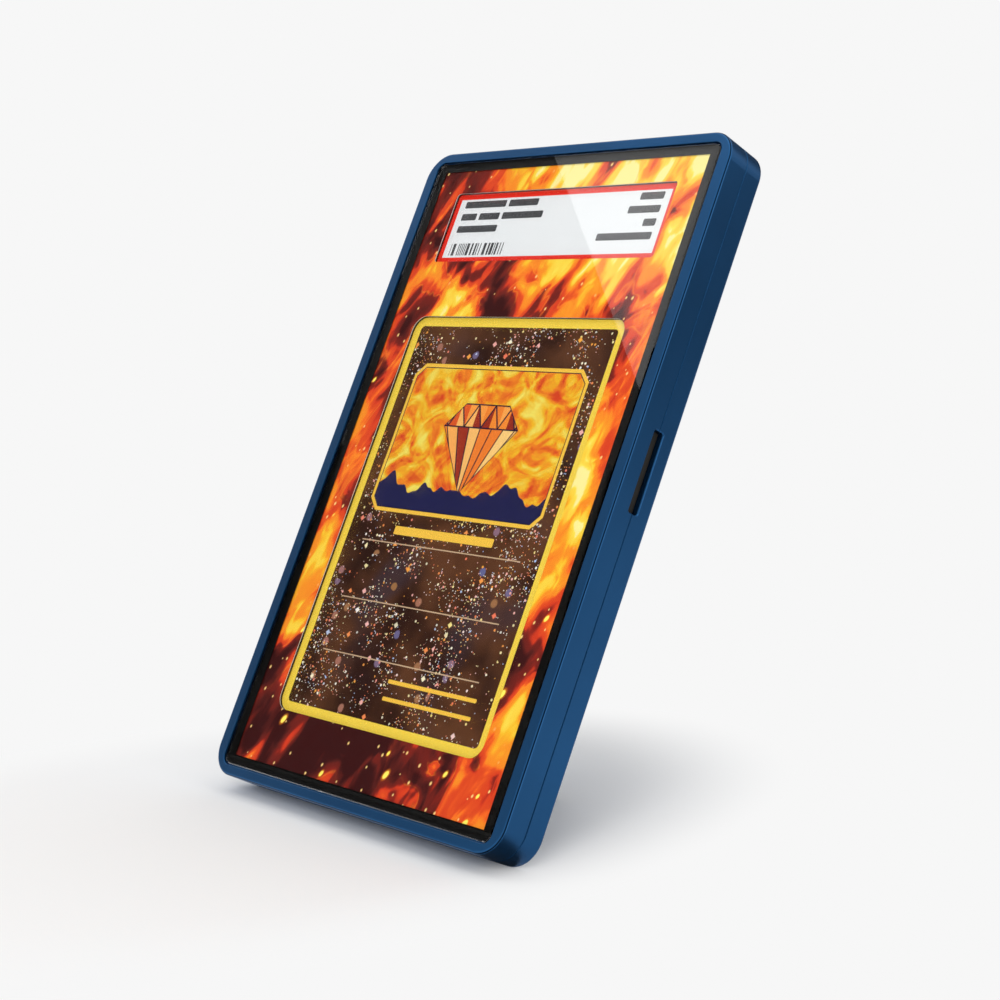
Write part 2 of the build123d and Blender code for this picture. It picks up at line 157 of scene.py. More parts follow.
class Finish:
    """A procedural material, its nodes and the helpers that add them."""

    output_kind = "ShaderNodeOutputMaterial"

    def __init__(self, name):
        self.made = self.new(name)
        self.made.use_nodes = True
        self.tree = self.made.node_tree
        self.tree.nodes.clear()
        self.output = self.tree.nodes.new(self.output_kind)

    def new(self, name):
        return bpy.data.materials.new(name)

    def add(self, kind, settings=None, sockets=(), output=0):
        """Adds a node: its settings first, then the values or links of its sockets."""
        node = self.tree.nodes.new(kind)
        for name, value in (settings or {}).items():
            if name == "stops":
                self.set_stops(node.color_ramp, value)
            else:
                setattr(node, name, value)
        pairs = sockets.items() if isinstance(sockets, dict) else enumerate(sockets)
        for name, value in pairs:
            if isinstance(value, Wire):
                self.tree.links.new(value.socket, node.inputs[name])
            else:
                node.inputs[name].default_value = value
        return Wire(self, node.outputs[output])

    def set_stops(self, ramp, stops):
        while len(ramp.elements) < len(stops):
            ramp.elements.new(1.0)
        for element, (position, colour) in zip(ramp.elements, stops):
            element.position = position
            element.color = colour

    def maths(self, operation, *values):
        return self.add("ShaderNodeMath", {"operation": operation}, values)

    def vector_maths(self, operation, *values, output=0):
        return self.add("ShaderNodeVectorMath", {"operation": operation}, values, output)

    def mix(self, factor, first, second):
        """Mixes two colours."""
        return self.add("ShaderNodeMix", {"data_type": "RGBA"}, {0: factor, 6: first, 7: second}, 2)

    def tint(self, stops, value):
        """The colour that a value has on a scale of colour stops."""
        return self.add("ShaderNodeValToRGB", {"stops": stops}, [value])

    def here(self):
        return self.add("ShaderNodeTexCoord", output="Object")

    def mapped(self, **sockets):
        """Moves, turns and scales a pattern."""
        return self.add("ShaderNodeMapping", {"vector_type": "TEXTURE"}, sockets)

    def place(self, centre=(0, 0, 0)):
        """Object coordinates in millimetres from a centre, along the case's own axes."""
        turn = (case_tilt, 0, 0)
        return self.mapped(Vector=self.here(), Location=centre, Rotation=turn, Scale=(MM, MM, MM))

    def stretched(self, place, angle, along, aside):
        """Turns a flat pattern and gives it a grain: sizes along the angle and aside from it."""
        return self.mapped(Vector=place, Rotation=(0, 0, angle), Scale=(along, aside, 1))

    def rays(self, *kinds):
        """Whether the light path at a point is of each of these kinds."""
        path = self.add("ShaderNodeLightPath").socket.node
        return [Wire(self, path.outputs[f"Is {kind} Ray"]) for kind in kinds]

    def parts_of(self, vector):
        """The three parts of a vector or colour."""
        node = self.add("ShaderNodeSeparateXYZ", sockets=[vector]).socket.node
        return [Wire(self, socket) for socket in node.outputs]

    def vector(self, x, y, z=0.0):
        return self.add("ShaderNodeCombineXYZ", sockets=[x, y, z])

    def noise(self, place, size, detail=2.0, output=0, **more):
        sockets = {"Vector": place, "Scale": 1 / size, "Detail": detail}
        sockets.update(more)
        return self.add("ShaderNodeTexNoise", {"noise_dimensions": "3D"}, sockets, output)

    def cells(self, place, size, output="Distance", measure="EUCLIDEAN"):
        """Scattered cells of about one size: the distance or colour of the nearest."""
        settings = {"voronoi_dimensions": "2D", "distance": measure}
        return self.add("ShaderNodeTexVoronoi", settings, {"Vector": place, "Scale": 1 / size}, output)

    def chance(self, place):
        """A number that jumps at random from one whole step to the next."""
        return self.add("ShaderNodeTexWhiteNoise", {"noise_dimensions": "2D"}, {"Vector": place}, "Value")

    def bump(self, height, strength, distance):
        sockets = {"Height": height, "Strength": strength, "Distance": distance}
        return self.add("ShaderNodeBump", sockets=sockets, output="Normal")

    def surface(self, **values):
        """The Principled shader, whose sockets are named with underscores."""
        sockets = {name.replace("_", " "): value for name, value in values.items()}
        return self.add("ShaderNodeBsdfPrincipled", sockets=sockets)

    def show(self, shader):
        self.tree.links.new(shader.socket, self.output.inputs["Surface"])
        return self.made


def opaque(colour):
    return (*colour, 1.0)


def frame_distance(u, v, half_width, half_height, corner):
    """Signed distance from a rectangle with round corners, less than 0 inside."""
    side = abs(u) - (half_width - corner)
    end = abs(v) - (half_height - corner)
    outside = (side.most(0) ** 2 + end.most(0) ** 2) ** 0.5
    return outside + side.most(end).least(0) - corner


def set_material(material, *names):
    """Gives CAD nodes one finish."""
    for name in names:
        slots = frame["nodes"][name].data.materials
        slots.clear()
        slots.append(material)


def anodised(settings):
    """Dyed and bead-blasted aluminium with a satin seal."""
    finish = Finish("anodised_blue")
    place = finish.place()
    cloud = finish.noise(place, 22.0, 2.0)
    grain = finish.noise(place, settings.blast_grain, 1.0)
    deep = [channel * 0.9 for channel in settings.anodised_colour]
    colour = finish.mix(cloud.ramp(0.35, 0.65), opaque(deep), opaque(settings.anodised_colour))
    # Colours of the painted shade line and the painted highlight lines, mixed into the dye colour below
    painted_shade_colour = [channel * 0.12 for channel in settings.anodised_colour]
    painted_highlight_colour = [channel * 1.45 for channel in settings.anodised_colour]
    dark, light = painted_edge_lines(finish)
    colour = finish.mix(dark, colour, opaque(painted_shade_colour))
    colour = finish.mix(light, colour, opaque(painted_highlight_colour))
    shader = finish.surface(
        Base_Color=colour,
        # Less metallic under the painted highlight lines
        Metallic=settings.anodised_metal * (1 - 0.3 * light),
        Roughness=settings.anodised_roughness + 0.05 * (grain - 0.5),
        Normal=finish.bump(grain, 0.12, 0.02 * MM),
        Coat_Weight=0.04,
        Coat_Roughness=0.3,
    )
    return finish.show(shader)


def painted_edge_lines(finish):
    """Painted shade and painted highlight on the front's rounded outer edge: a thin dark line half way
    round it, a thin light line further round towards the side, and a light line along one edge of the
    side's opening on the right side only.
    """
    centre = middle("front_frame")
    points = [vertex.co - centre for vertex in frame["nodes"]["front_frame"].data.vertices]
    half_width = max(abs(point.x) for point in points) / MM
    half_height = max(abs(point.dot(up_case)) for point in points) / MM
    front = max(point.dot(out_of_case) for point in points) / MM
    u, v, w = finish.parts_of(finish.place(centre))
    corner_radius, edge_round = 6.0, 0.5
    inward = -frame_distance(u, v, half_width, half_height, corner_radius)
    down = -(w - front)
    rounded = 1 - down.ramp(edge_round, edge_round + 0.1)
    # Painted shade: a thin dark line half way round the rounded outer edge
    dark = (1 - abs(inward - down).ramp(0.10, 0.18)) * rounded
    # Painted highlight: a thin light line further round the edge, towards the side
    outer = (1 - abs(inward - down + 0.32).ramp(0.05, 0.12)) * rounded
    slot_rise, slot_half_length, slot_half_height, edge_break = 3.75, 8.15, 1.2, 0.2
    # Painted highlight along one edge of the opening in the side, kept to the right side (u > 0)
    behind = abs(w + front + slot_half_height + edge_break / 2)
    along = abs(v - slot_rise)
    slot = (1 - behind.ramp(0.09, 0.14)) * (1 - along.ramp(slot_half_length - 0.3, slot_half_length))
    light = outer.most(slot * (inward < edge_break + 0.05) * (u > 0.0))
    return dark, light


def painted_steel(settings):
    """The leg's satin coat, a little smoother than the case."""
    finish = Finish("leg_blue")
    place = finish.place()
    orange_peel = finish.noise(place, 0.5, 1.0)
    cloud = finish.noise(place, 12.0, 2.0)
    deep = [channel * 0.8 for channel in settings.anodised_colour]
    shader = finish.surface(
        Base_Color=finish.mix(cloud, opaque(deep), opaque(settings.anodised_colour)),
        Metallic=0.6,
        Roughness=0.36 + 0.08 * (cloud - 0.5),
        Normal=finish.bump(orange_peel, 0.1, 0.03 * MM),
    )
    return finish.show(shader)


def see_through(name, index, tint, dust):
    """Clear glass or plastic that lets the light through to what lies behind it."""
    finish = Finish(name)
    haze = finish.noise(finish.place(), 9.0, 3.0).ramp(0.45, 0.8)
    clear = [1.0 - dust * (1.0 - channel) for channel in tint]
    pane = finish.surface(
        Base_Color=finish.mix(haze, opaque(tint), opaque(clear)),
        Roughness=0.0,
        IOR=index,
        Transmission_Weight=1.0,
    )
    passing = finish.add("ShaderNodeBsdfTransparent", sockets={"Color": opaque(tint)})
    shadow, diffuse = finish.rays("Shadow", "Diffuse")
    return finish.show(finish.add("ShaderNodeMixShader", sockets=[shadow.most(diffuse), pane, passing]))


def printed_black():
    """Black ink on the back of the pane, with a faint screen-print grain."""
    finish = Finish("mask_black")
    grain = finish.noise(finish.place(), 0.4, 1.0)
    shader = finish.surface(
        Base_Color=finish.mix(grain, opaque((0.005, 0.005, 0.005)), opaque((0.009, 0.009, 0.008))),
        Roughness=0.35 + 0.1 * grain,
        Specular_IOR_Level=0.2,
    )
    return finish.show(shader)


def bonding_tape():
    """Thin black foam tape."""
    finish = Finish("tape_black")
    pores = finish.noise(finish.place(), 0.25, 2.0)
    shader = finish.surface(
        Base_Color=finish.mix(pores, opaque((0.008, 0.008, 0.008)), opaque((0.02, 0.02, 0.02))),
        Roughness=0.75 + 0.2 * (pores - 0.5),
        Normal=finish.bump(pores, 0.3, 0.05 * MM),
    )
    return finish.show(shader)


flame_stops = [
    (0.00, (0.042, 0.004, 0.004, 1)),
    (0.16, (0.100, 0.010, 0.007, 1)),
    (0.28, (0.26, 0.016, 0.008, 1)),
    (0.38, (0.66, 0.042, 0.010, 1)),
    (0.50, (0.88, 0.13, 0.012, 1)),
    (0.62, (0.90, 0.28, 0.014, 1)),
    (0.74, (0.91, 0.50, 0.020, 1)),
    (0.86, (0.92, 0.72, 0.08, 1)),
    (1.00, (0.92, 0.87, 0.45, 1)),
]


def flame_field(finish, place, angle, along, aside, seed):
    """A wavering field drawn out along one direction, 0 to 1."""
    grain = finish.stretched(place, angle, along, aside)
    moved = finish.vector_maths("ADD", grain, (seed, seed * 0.7, seed * 1.3))
    sway = finish.noise(moved, 1.6, 1.0, output=1)
    flick = finish.noise(moved, 0.55, 1.0, output=1)
    bent = finish.vector_maths("MULTIPLY_ADD", sway, (1.5, 1.0, 0), moved)
    bent = finish.vector_maths("MULTIPLY_ADD", flick, (0.7, 0.45, 0), bent)
    return finish.noise(bent, 1.0, 3.0, Roughness=0.42, Distortion=0.9)


def embers(finish, place, angle, size, stretch, share, core):
    """Glowing sparks, drawn out along one direction: how bright each point is."""
    grain = finish.stretched(place, angle, size * stretch, size)
    nearness = finish.cells(grain, 1.0)
    kind = finish.parts_of(finish.cells(grain, 1.0, "Color"))
    radius = core * (0.4 + 0.6 * kind[1])
    lit = kind[0] > (1 - share)
    return (1 - (nearness / radius).ramp(0.2, 1.0)) * lit


def flame_print(settings):
    """Printed sheet with plain flames, smoke and sparks, and a bare back."""
    finish = Finish("art_print")
    place = finish.place(middle("art_insert"))
    u, v, depth = finish.parts_of(place)
    lean = radians(settings.flame_lean)
    broad = flame_field(finish, place, lean, along=46.0, aside=26.0, seed=71.3)
    tongues = flame_field(finish, place, lean, along=26.0, aside=13.0, seed=11.7)
    licks = flame_field(finish, place, lean, along=12.0, aside=5.0, seed=23.9)
    sheet_height = 150.0
    rise = (v + 0.45 * u) / sheet_height
    heat = 0.35 + (broad - 0.5) * 2.3 + (tongues - 0.5) * 2.0 + (licks - 0.5) * 0.8 + rise * 0.4
    glow = (heat - finish.maths("SINE", heat * (2 * pi * 5)) * 0.026).least(0.94)
    colour = finish.tint(flame_stops, glow)
    edge = 1 - abs(tongues - 0.5).ramp(0.0, 0.016)
    colour = finish.mix(edge * glow.ramp(0.15, 0.5) * 0.4, colour, (1.0, 0.34, 0.02, 1))
    fine = embers(finish, place, lean, size=2.6, stretch=1.5, share=0.34, core=0.16)
    large = embers(finish, place, lean - 0.2, size=8.0, stretch=1.8, share=0.55, core=0.16)
    large = large * (1 - glow.ramp(0.42, 0.62))
    colour = finish.mix(fine * (1 - glow.ramp(0.35, 0.75)), colour, (1.0, 0.66, 0.22, 1))
    colour = finish.mix(large, colour, (1.0, 0.26, 0.01, 1))
    colour = finish.mix(large.ramp(0.45, 0.8), colour, (1.0, 0.86, 0.12, 1))
    colour = finish.mix(depth > 0.0, bare_paper(finish, place), colour)
    shader = finish.surface(Base_Color=colour, Roughness=0.45 + 0.1 * licks, Specular_IOR_Level=0.1)
    return finish.show(shader)


def bare_paper(finish, place):
    """Unprinted white stock with a little fibre in it."""
    fibre = finish.noise(place, 0.3, 2.0)
    return finish.mix(fibre, (0.76, 0.75, 0.72, 1), (0.84, 0.83, 0.80, 1))


def card_back(finish, u, v, inner):
    """Back of the card: a plain lattice of thin lines inside a cream border."""
    pitch = 5.0
    rising = abs((u + v) / pitch % 1.0 - 0.5)
    falling = abs((u - v) / pitch % 1.0 - 0.5)
    lines = 1 - rising.least(falling).ramp(0.05, 0.08)
    back = finish.mix(lines, (0.075, 0.012, 0.014, 1), (0.42, 0.22, 0.12, 1))
    return finish.mix(inner.ramp(-0.05, 0.05), back, (0.72, 0.66, 0.52, 1))


def sparkle(finish, colour, place, size, share, tints, measure="EUCLIDEAN"):
    """Adds foil flakes of one size, each in its own tint."""
    nearness = finish.cells(place, size, measure=measure)
    kind = finish.parts_of(finish.cells(place, size, "Color", measure))
    flake = (1 - nearness.ramp(0.22, 0.36)) * (kind[0] > (1 - share))
    return finish.mix(flake, colour, finish.tint(tints, kind[1]))


flake_tints = [
    (0.0, (1.0, 0.45, 0.05, 1)),
    (0.25, (0.95, 0.20, 0.10, 1)),
    (0.42, (0.95, 0.55, 0.50, 1)),
    (0.55, (1.0, 1.0, 0.95, 1)),
    (0.75, (1.0, 0.80, 0.25, 1)),
    (1.0, (0.40, 0.58, 1.0, 1)),
]


star_tints = [
    (0.0, (0.35, 0.16, 0.05, 1)),
    (0.5, (0.42, 0.17, 0.13, 1)),
    (1.0, (0.12, 0.13, 0.30, 1)),
]


def foil_card(settings):
    """Sample card: yellow border, dark foil body, framed picture and plain rules."""
    finish = Finish("card_print")
    place = finish.place(middle("card"))
    u, v, depth = finish.parts_of(place)
    half_width, half_height = half_size("card")
    cloud = finish.noise(place, 16.0, 3.0)
    body = finish.mix(cloud.ramp(0.35, 0.65), (0.030, 0.009, 0.005, 1), (0.120, 0.042, 0.016, 1))
    cool = finish.noise(finish.vector_maths("ADD", place, (40, 9, 0)), 20.0, 1.0)
    body = finish.mix(cool.ramp(0.55, 0.75) * 0.6, body, (0.032, 0.026, 0.042, 1))
    patch = finish.noise(finish.vector_maths("ADD", place, (7, 70, 0)), 13.0, 3.0).ramp(0.44, 0.60)
    body = sparkle(finish, body, place, 3.0, 0.08, star_tints)
    body = sparkle(finish, body, place, 0.42, 0.03 + 0.22 * patch, flake_tints)
    body = sparkle(finish, body, place, 0.9, 0.03 + 0.12 * patch, flake_tints)
    body = sparkle(finish, body, place, 2.2, 0.03 + 0.06 * patch, flake_tints, "MANHATTAN")
    body = picture_window(finish, body, place, u, v)
    border = settings.card_border
    inner = frame_distance(u, v, half_width - border, half_height - border, corner=1.0)
    speck = finish.noise(place, 0.5, 1.0)
    yellow = finish.mix(speck, opaque(settings.card_colour), (1.0, 0.75, 0.10, 1))
    colour = finish.mix(inner.ramp(-0.05, 0.05), body, yellow)
    colour = finish.mix(depth > 0.0, card_back(finish, u, v, inner), colour)
    shader = finish.surface(Base_Color=colour, Roughness=0.32 + 0.1 * speck, Specular_IOR_Level=0.1)
    return finish.show(shader)


gem_tints = [
    (0.0, (0.30, 0.020, 0.010, 1)),
    (0.35, (0.80, 0.10, 0.015, 1)),
    (0.7, (1.0, 0.30, 0.03, 1)),
    (1.0, (1.0, 0.62, 0.20, 1)),
]
sky_tints = [
    (0.32, (0.72, 0.055, 0.012, 1)),
    (0.44, (0.90, 0.22, 0.012, 1)),
    (0.54, (0.92, 0.48, 0.015, 1)),
    (0.68, (0.93, 0.76, 0.12, 1)),
]


def picture_window(finish, colour, place, u, v):
    """Framed picture of a cut gem over rays, with plain bars and rules below it."""
    gold = (0.96, 0.56, 0.06, 1)
    ink = (0.010, 0.009, 0.035, 1)
    height = v - 17.0
    window = frame_distance(u, height, 25.0, 15.5, 0.3).most((abs(u) + abs(height) - 38.5) / 1.414)
    angle = finish.maths("ARCTAN2", height + 15.0, u)
    rays_around = 28
    rays = (angle * (rays_around / (2 * pi)) % 1.0 - 0.5).ramp(-0.05, 0.05)
    swirl = finish.noise(place, 8.0, 4.0, Distortion=1.8)
    sky = finish.tint(sky_tints, swirl + 0.05 * (rays - 0.5))
    gem = (abs(u) * 1.27 - (height + 11.0)).most(abs(u) + (height - 3.0) * 0.9 - 11.0).most(height - 8.0)
    outline, facet = gem_facets(finish, u, height - 3.0)
    stone = finish.mix(1 - outline.least(abs(gem)).ramp(0.10, 0.22), finish.tint(gem_tints, facet), ink)
    hills = finish.noise(finish.vector(u, 0.0), 9.0, 2.0) * 16.0 - 18.5
    land = (hills - height).ramp(-0.1, 0.1)
    picture = finish.mix(land, sky, (0.016, 0.016, 0.075, 1))
    picture = finish.mix((gem - 0.15).inside(), picture, stone)
    for margin, filling in ((1.0, gold), (0.2, ink), (0.0, picture)):
        colour = finish.mix((window - margin).inside(), colour, filling)
    tan = (0.62, 0.42, 0.25, 1)
    # Across, up, half length, half height, corner and colour of each rule and bar
    strips = [(0.0, up, 24.0, 0.12, 0.05, tan) for up in (-6.0, -18.5, -30.0)]
    strips.append((0.0, -3.2, 15.0, 0.9, 0.3, gold))
    strips += [(12.0, up, 13.0, 0.4, 0.3, gold) for up in (-33.5, -37.0)]
    for across, up, half_length, half_height, corner, filling in strips:
        strip = frame_distance(u - across, v - up, half_length, half_height, corner)
        colour = finish.mix(strip.inside(), colour, filling)
    return colour


def gem_facets(finish, u, rise):
    """Distance to the nearest cut of the gem, and a random number for each facet."""
    fan_count, point_depth, crown_facet = 5.0, 17.0, 5.0
    crown = rise > 0.0
    depth = rise + point_depth
    fan = u / depth * fan_count
    pavilion_cut = abs((fan + 0.5) % 1.0 - 0.5) / fan_count * depth
    step = u / crown_facet
    slope = abs((step + 0.5) % 1.0 - 0.5) * 2.0
    steepness = rise / crown_facet - slope
    upper = steepness > 0.0
    crown_cut = abs(steepness) * 1.86
    cut = pavilion_cut + (crown_cut - pavilion_cut) * crown
    number = fan.floor()
    crown_number = (step + 0.5 * (1 - upper)).floor() + 9.0 + upper * 9.0
    facet = finish.chance(finish.vector(number + (crown_number - number) * crown, 2.0))
    return cut.least(abs(rise)), facet


def paper_label(settings):
    """White label with a red border, plain bars for lines of print and stripes."""
    finish = Finish("label_paper")
    place = finish.place(middle("slab_label"))
    u, v, depth = finish.parts_of(place)
    half_width, half_height = half_size("slab_label")
    fibre = finish.noise(place, 0.3, 2.0)
    paper = finish.mix(fibre, (0.88, 0.89, 0.90, 1), (0.93, 0.93, 0.93, 1))
    left = ((13.0, 9.0), (4.8, 6.4, 12.4), (12.6,))
    right = ((6.4,), (8.6,), (3.4,), (15.0,))
    ink = print_rows(u, v, left).most(print_rows(-u, v, right))
    stripe_width = 0.28
    stripe = finish.chance(finish.vector((u / stripe_width).floor(), 5.0)) > 0.48
    code = frame_distance(u + 20.8, v + 5.0, half_width=8.5, half_height=1.4, corner=0.01)
    ink = ink.most(code.inside(0.03) * stripe)
    colour = finish.mix(ink * 0.93, paper, (0.012, 0.012, 0.016, 1))
    border = settings.label_border
    inner = frame_distance(u, v, half_width - border, half_height - border, corner=0.05)
    colour = finish.mix(inner.ramp(-0.05, 0.05), colour, opaque(settings.label_colour))
    colour = finish.mix(depth > 0.0, paper, colour)
    shader = finish.surface(Base_Color=colour, Roughness=0.55 + 0.1 * fibre, Specular_IOR_Level=0.1)
    return finish.show(shader)


def print_rows(u, v, rows):
    """Rows of plain bars, one for each word, that stand for lines of small print."""
    row_start, top_row, row_pitch, word_gap, half_height = -29.3, 5.6, 2.9, 0.9, 0.8
    words = []
    for row, lengths in enumerate(rows):
        place = row_start
        for length in lengths:
            middle_x = place + length / 2
            middle_y = top_row - row * row_pitch
            bar = frame_distance(u - middle_x, v - middle_y, length / 2, half_height, corner=0.3)
            words.append(bar.inside(0.04))
            place += length + word_gap
    ink = words[0]
    for word in words[1:]:
        ink = ink.most(word)
    return ink


def plated(name, colour, roughness, scratch):
    """Bright or plain metal with fine scratches."""
    finish = Finish(name)
    place = finish.place()
    drawn = finish.noise(finish.stretched(place, 0.3, 6.0, 0.15), 1.0, 2.0)
    dull = [channel * 0.85 for channel in colour]
    shader = finish.surface(
        Base_Color=finish.mix(drawn, opaque(colour), opaque(dull)),
        Metallic=1.0,
        Roughness=roughness + scratch * (drawn - 0.5),
        Normal=finish.bump(drawn, 0.05, 0.01 * MM),
    )
    return finish.show(shader)


def foam():
    """Closed-cell foam, with pores that show up close."""
    finish = Finish("black_foam")
    place = finish.place()
    pore_size = 0.35
    sockets = {"Vector": place, "Scale": 1 / pore_size}
    pores = finish.add("ShaderNodeTexVoronoi", {"voronoi_dimensions": "3D"}, sockets)
    cloud = finish.noise(place, 3.0, 2.0)
    shader = finish.surface(
        Base_Color=finish.mix(pores.ramp(0.1, 0.6), (0.010, 0.010, 0.011, 1), (0.032, 0.032, 0.034, 1)),
        Roughness=0.85 + 0.1 * (cloud - 0.5),
        Normal=finish.bump(pores, 0.5, 0.08 * MM),
    )
    return finish.show(shader)


def rubber():
    """Matt silicone rubber with a light bloom."""
    finish = Finish("black_rubber")
    place = finish.place()
    bloom = finish.noise(place, 4.0, 3.0)
    grain = finish.noise(place, 0.3, 1.0)
    shader = finish.surface(
        Base_Color=finish.mix(bloom, (0.015, 0.013, 0.010, 1), (0.028, 0.025, 0.020, 1)),
        Roughness=0.62 + 0.14 * (bloom - 0.5),
        Specular_IOR_Level=0.3,
        Normal=finish.bump(grain, 0.2, 0.03 * MM),
    )
    return finish.show(shader)


def merged_copy(node):
    """A CAD node's mesh with its triangles joined and its flat faces whole again."""
    shape = bmesh.new()
    shape.from_mesh(frame["nodes"][node].data)
    bmesh.ops.remove_doubles(shape, verts=shape.verts, dist=0.002 * MM)
    bmesh.ops.dissolve_limit(shape, angle_limit=radians(1), verts=shape.verts, edges=shape.edges)
    return shape


def round_over(shape, radius, steps=3):
    """Rounds a moulded or cut piece's outer edges."""
    least_angle = radians(50)
    convex = [edge for edge in shape.edges if len(edge.link_faces) == 2 and edge.is_convex]
    corners = [edge for edge in convex if edge.calc_face_angle() > least_angle]
    bmesh.ops.bevel(
        shape,
        geom=corners,
        offset=radius,
        offset_type="OFFSET",
        affect="EDGES",
        segments=steps,
        profile=0.5,
        material=-1,
        clamp_overlap=True,
    )


def object_of(shape, name, material):
    """Makes an object of a shape and puts it in the scene."""
    mesh = bpy.data.meshes.new(name)
    shape.to_mesh(mesh)
    shape.free()
    mesh.materials.append(material)
    made = bpy.data.objects.new(name, mesh)
    bpy.context.scene.collection.objects.link(made)
    return made


def stand_for(shape, name, node, body, material):
    """Makes a piece of a shape, in the place of one CAD node."""
    piece = object_of(shape, name, material)
    piece.data.shade_smooth()
    piece.data.set_sharp_from_angle(angle=radians(35))
    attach(piece, body)
    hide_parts(node)
    return piece


def make_foam_pad():
    """Foam cut from sheet, with soft edges."""
    shape = merged_copy("back_pad")
    round_over(shape, 0.2 * MM)
    pad = stand_for(shape, "foam_pad", "back_pad", "rear_half", foam())


def make_rubber_liner(material):
    """Moulded ring around the slab, with a rounded lip."""
    shape = merged_copy("cushion_ring")
    round_over(shape, 0.18 * MM)
    stand_for(shape, "rubber_liner", "cushion_ring", "rear_half", material)


def make_ribbed_foot(material):
    """Rubber foot with grip grooves across both faces."""
    shape = merged_copy("foot_cap")
    round_over(shape, 0.09 * MM, steps=2)
    start = min((v.co - hinge_place).dot(down_leg) for v in shape.verts)
    first, pitch, width, half_length, depth = (length * MM for length in (0.8, 1.0, 0.45, 8.0, 0.09))
    grooves = [(start + first + pitch * i, start + first + pitch * i + width) for i in range(4)]
    cuts = [(hinge_place + down_leg * place, down_leg) for groove in grooves for place in groove]
    cuts += [(across_case * side * half_length, across_case) for side in (-1, 1)]
    for point, normal in cuts:
        everything = [*shape.verts, *shape.edges, *shape.faces]
        bmesh.ops.bisect_plane(shape, geom=everything, plane_co=point, plane_no=normal, dist=1e-7)
    for low, high in grooves:
        for side in (-1, 1):
            floor = []
            for face in shape.faces:
                centre = face.calc_center_median()
                place = (centre - hinge_place).dot(down_leg)
                inside = low < place < high and abs(centre.x) < half_length
                if inside and face.normal.dot(out_of_leg) * side > 0.9:
                    floor.append(face)
            bmesh.ops.inset_region(shape, faces=floor, thickness=0.05 * MM, depth=-depth)
    stand_for(shape, "ribbed_foot", "foot_cap", "stand", material)


class CaseFinishes(bpy.types.PropertyGroup):
    """Colours and grain of the metal."""

    anodised_colour: bpy.props.FloatVectorProperty(
        name="Anodised colour",
        description="Dye colour of the aluminium halves",
        subtype="COLOR",
        size=3,
        min=0.0,
        max=1.0,
        default=(0.017, 0.097, 0.250),
    )
    anodised_roughness: bpy.props.FloatProperty(
        name="Anodised roughness",
        description="How matt the blasted surface is",
        subtype="FACTOR",
        min=0.0,
        max=1.0,
        default=0.38,
    )
    anodised_metal: bpy.props.FloatProperty(
        name="Metal share",
        description="How metallic the dyed layer looks",
        subtype="FACTOR",
        min=0.0,
        max=1.0,
        default=0.95,
    )
    blast_grain: bpy.props.FloatProperty(
        name="Blast grain",
        description="Size of the bead-blasted grain, in millimetres",
        min=0.05,
        max=2.0,
        default=0.22,
    )


class PrintFinishes(bpy.types.PropertyGroup):
    """Colours and borders of what is printed."""

    flame_lean: bpy.props.FloatProperty(
        name="Flame lean",
        description="Direction in which the printed flames rise, in degrees from the sheet's width",
        min=0.0,
        max=180.0,
        default=66.0,
    )
    card_border: bpy.props.FloatProperty(
        name="Card border",
        description="Width of the card's yellow border, in millimetres",
        min=0.0,
        max=10.0,
        default=2.15,
    )
    card_colour: bpy.props.FloatVectorProperty(
        name="Card border colour",
        description="Yellow of the card's border",
        subtype="COLOR",
        size=3,
        min=0.0,
        max=1.0,
        default=(1.0, 0.65, 0.045),
    )
    label_border: bpy.props.FloatProperty(
        name="Label border",
        description="Width of the label's red border, in millimetres",
        min=0.0,
        max=5.0,
        default=1.35,
    )
    label_colour: bpy.props.FloatVectorProperty(
        name="Label border colour",
        description="Red of the label's border",
        subtype="COLOR",
        size=3,
        min=0.0,
        max=1.0,
        default=(0.95, 0.030, 0.014),
    )


class StudioStage(bpy.types.PropertyGroup):
    """Camera, floor and lamps."""

    camera_place: bpy.props.FloatVectorProperty(
        name="Camera place",
        description="Where the camera stands",
        subtype="TRANSLATION",
        unit="LENGTH",
        size=3,
        default=(0.29265, -0.25657, 0.10150),
    )
    camera_turn: bpy.props.FloatProperty(
        name="Camera turn",
        description="How far round to the right the camera stands",
        subtype="ANGLE",
        unit="ROTATION",
        default=radians(48.126),
    )
    camera_dip: bpy.props.FloatProperty(
        name="Camera dip",
        description="How far the camera looks down",
        subtype="ANGLE",
        unit="ROTATION",
        default=radians(5.890),
    )
    camera_lens: bpy.props.FloatProperty(
        name="Lens",
        description="Focal length on a 36 mm sensor",
        subtype="DISTANCE_CAMERA",
        default=70.45,
    )
    backdrop_colour: bpy.props.FloatVectorProperty(
        name="Backdrop colour",
        description="Pale colour of the floor and of what lies behind it",
        subtype="COLOR",
        size=3,
        min=0.0,
        max=1.0,
        default=(0.93, 0.93, 0.93),
    )
    ambient_level: bpy.props.FloatProperty(
        name="Ambient level",
        description="How bright the even light around the case is",
        min=0.0,
        max=2.0,
        default=0.81,
    )
    lamp_level: bpy.props.FloatProperty(
        name="Lamp level",
        description="Share of their plain level at which the lamps shine",
        min=0.0,
        max=3.0,
        default=1.0,
    )


class CARDCASE_OT_metalwork(bpy.types.Operator):
    """Finishes the aluminium halves and the leg"""

    bl_idname = "card_case.metalwork"
    bl_label = "Finish the metalwork"

    def execute(self, context):
        settings = context.scene.card_case_finishes
        set_material(anodised(settings), "front_frame", "rear_shell")
        set_material(painted_steel(settings), "kickstand_leg")
        return {"FINISHED"}


